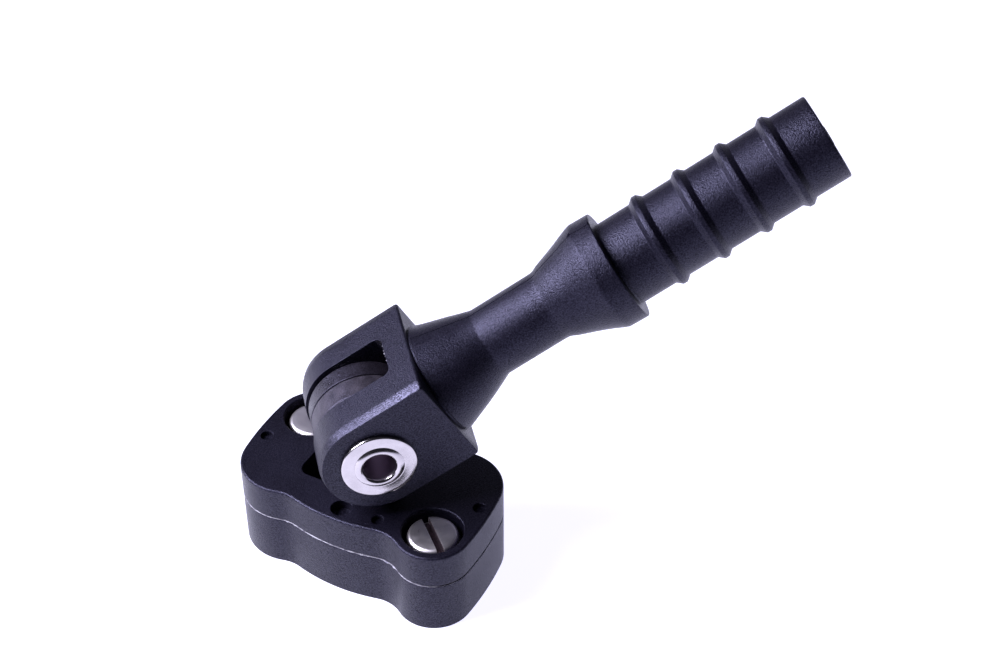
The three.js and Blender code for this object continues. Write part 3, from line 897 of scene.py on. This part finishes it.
# the darker colour inside the tube's bore is painted shade, with some dirt
polished = steel("polished_steel", (0.50, 0.475, 0.49), (0.1, 0.26), POST_AXES, (9000, 0.00002),
                 (0.47, 0.40, 0.48), TUBE_BORE + 0.02, CLEVIS_REAR + 5)
slot_height = box_mm("screw_front")[1].z - 0.45
# the darker colour down in each screw slot is painted shade, with some dirt
satin = {end: steel(f"satin_steel_{end}", (0.85, 0.81, 0.85), (0.24, 0.44), screw_axes(x, y),
                    (5000, 0.00001), (0.10, 0.075, 0.09), HEAD_R - 0.45, slot_height)
         for end, x, y in SCREWS}

make_base_block(black)
make_top_plate(black)
make_flash(pale_and_highlit)
for end, x, y in SCREWS:
    make_screw(end, x, y, satin[end])
    make_nut(end, x, y, satin[end])
make_post_half("front", EYE_FRONT, SPLIT_FRONT, (0.8, 0.25), grey)
make_post_half("rear", SPLIT_REAR, EYE_REAR, (0.25, 0.5), painted_shade_grey)
make_clevis_arm(painted_band_sheen)
make_slot_burrs(pale_and_highlit)
make_pivot_tube(polished)
make_washer("front", CLEVIS_FRONT - WASHER_GAP, -1, polished)
make_washer("rear", CLEVIS_REAR + WASHER_GAP, 1, polished)

# ---- Stage ---------------------------------------------------------------------------------------


FLOOR_RADIUS = 2.5                     # metres
GLOW_NEAR, GLOW_FAR = 1.27, 0.42
GLOW_FADES = (0.3, 0.8)                # from and to these distances, in metres


def make_floor():
    """A plain pale floor that glows white under the object and fades away from it."""
    bm = bmesh.new()
    bmesh.ops.create_circle(bm, cap_ends=True, radius=FLOOR_RADIUS, segments=FINE)
    floor = object_from("floor", bm)
    floor.location.z = cad_box[0].z
    nodes = Nodes("floor_white")
    reach = nodes.tree.nodes.new("ShaderNodeVectorMath")
    reach.operation = "LENGTH"
    nodes.link(nodes.place, reach.inputs[0])
    glow = nodes.spread(reach.outputs["Value"], GLOW_NEAR, GLOW_FAR, *GLOW_FADES)
    nodes.link(glow, nodes.shader.inputs["Emission Strength"])
    nodes.set(Base_Color=(0.3, 0.3, 0.3, 1), Roughness=1.0, Emission_Color=(0.75, 0.74, 1, 1))
    floor.data.materials.append(nodes.material)


KEY_TOWARDS = (-0.627, -0.474, 0.616)
KEY_DISTANCE, KEY_SIZE, KEY_POWER = 0.5, 0.29, 9.9     # metres, metres and watts
KEY_COLOUR = (0.88, 0.87, 1.0)


def make_softbox(name, towards, distance, size, power, colour):
    """A square softbox in a direction from the middle of the object, facing it."""
    middle_of = (Vector(cad_box[0]) + Vector(cad_box[1])) / 2
    light = bpy.data.lights.new(name, "AREA")
    light.shape, light.size, light.energy, light.color = "SQUARE", size, power, colour
    lamp = bpy.data.objects.new(name, light)
    direction = Vector(towards).normalized()
    lamp.location = middle_of + direction * distance
    lamp.rotation_euler = direction.to_track_quat("Z", "Y").to_euler()
    bpy.context.scene.collection.objects.link(lamp)


BRIGHT_SIDE = (-0.72, 0.68, -0.42)     # the side of the room with the white wall
ROOM_DARK, ROOM_BRIGHT = 0.03, 0.36
ROOM_COLOUR = (0.76, 0.74, 1.0, 1)


def make_world():
    """A dim cool room, brighter towards the white wall."""
    world = bpy.data.worlds.new("studio")
    world.use_nodes = True
    tree = world.node_tree
    place = tree.nodes.new("ShaderNodeTexCoord")
    lean = tree.nodes.new("ShaderNodeVectorMath")
    lean.operation = "DOT_PRODUCT"
    lean.inputs[1].default_value = BRIGHT_SIDE
    ramp = tree.nodes.new("ShaderNodeMapRange")
    for key, value in (("From Min", -0.3), ("From Max", 1.0),
                       ("To Min", ROOM_DARK), ("To Max", ROOM_BRIGHT)):
        ramp.inputs[key].default_value = value
    tree.links.new(place.outputs["Generated"], lean.inputs[0])
    tree.links.new(lean.outputs["Value"], ramp.inputs["Value"])
    tree.links.new(ramp.outputs["Result"], tree.nodes["Background"].inputs["Strength"])
    tree.nodes["Background"].inputs["Color"].default_value = ROOM_COLOUR
    bpy.context.scene.world = world


CAMERA_AIM = Vector((17.4, 32.0, 48.1))
CAMERA_AZIMUTH, CAMERA_ELEVATION, CAMERA_ROLL = (math.radians(a) for a in (28.5, 38.76, -0.26))
CAMERA_DISTANCE, CAMERA_LENS, SENSOR_WIDTH = 441.0, 67.45, 36


def make_camera():
    level_reach = math.cos(CAMERA_ELEVATION)
    back = Vector((math.sin(CAMERA_AZIMUTH) * level_reach, -math.cos(CAMERA_AZIMUTH) * level_reach,
                   math.sin(CAMERA_ELEVATION)))
    data = bpy.data.cameras.new("camera")
    data.lens, data.sensor_width = CAMERA_LENS, SENSOR_WIDTH
    camera = bpy.data.objects.new("camera", data)
    camera.location = (CAMERA_AIM + back * CAMERA_DISTANCE) * MM
    camera.rotation_mode = "QUATERNION"
    level = back.to_track_quat("Z", "Y")
    camera.rotation_quaternion = level @ Matrix.Rotation(CAMERA_ROLL, 3, "Z").to_quaternion()
    bpy.context.scene.collection.objects.link(camera)
    bpy.context.scene.camera = camera


make_camera()
make_floor()
make_world()
make_softbox("key", KEY_TOWARDS, KEY_DISTANCE, KEY_SIZE, KEY_POWER, KEY_COLOUR)
bpy.context.scene.view_settings.view_transform = "Standard"
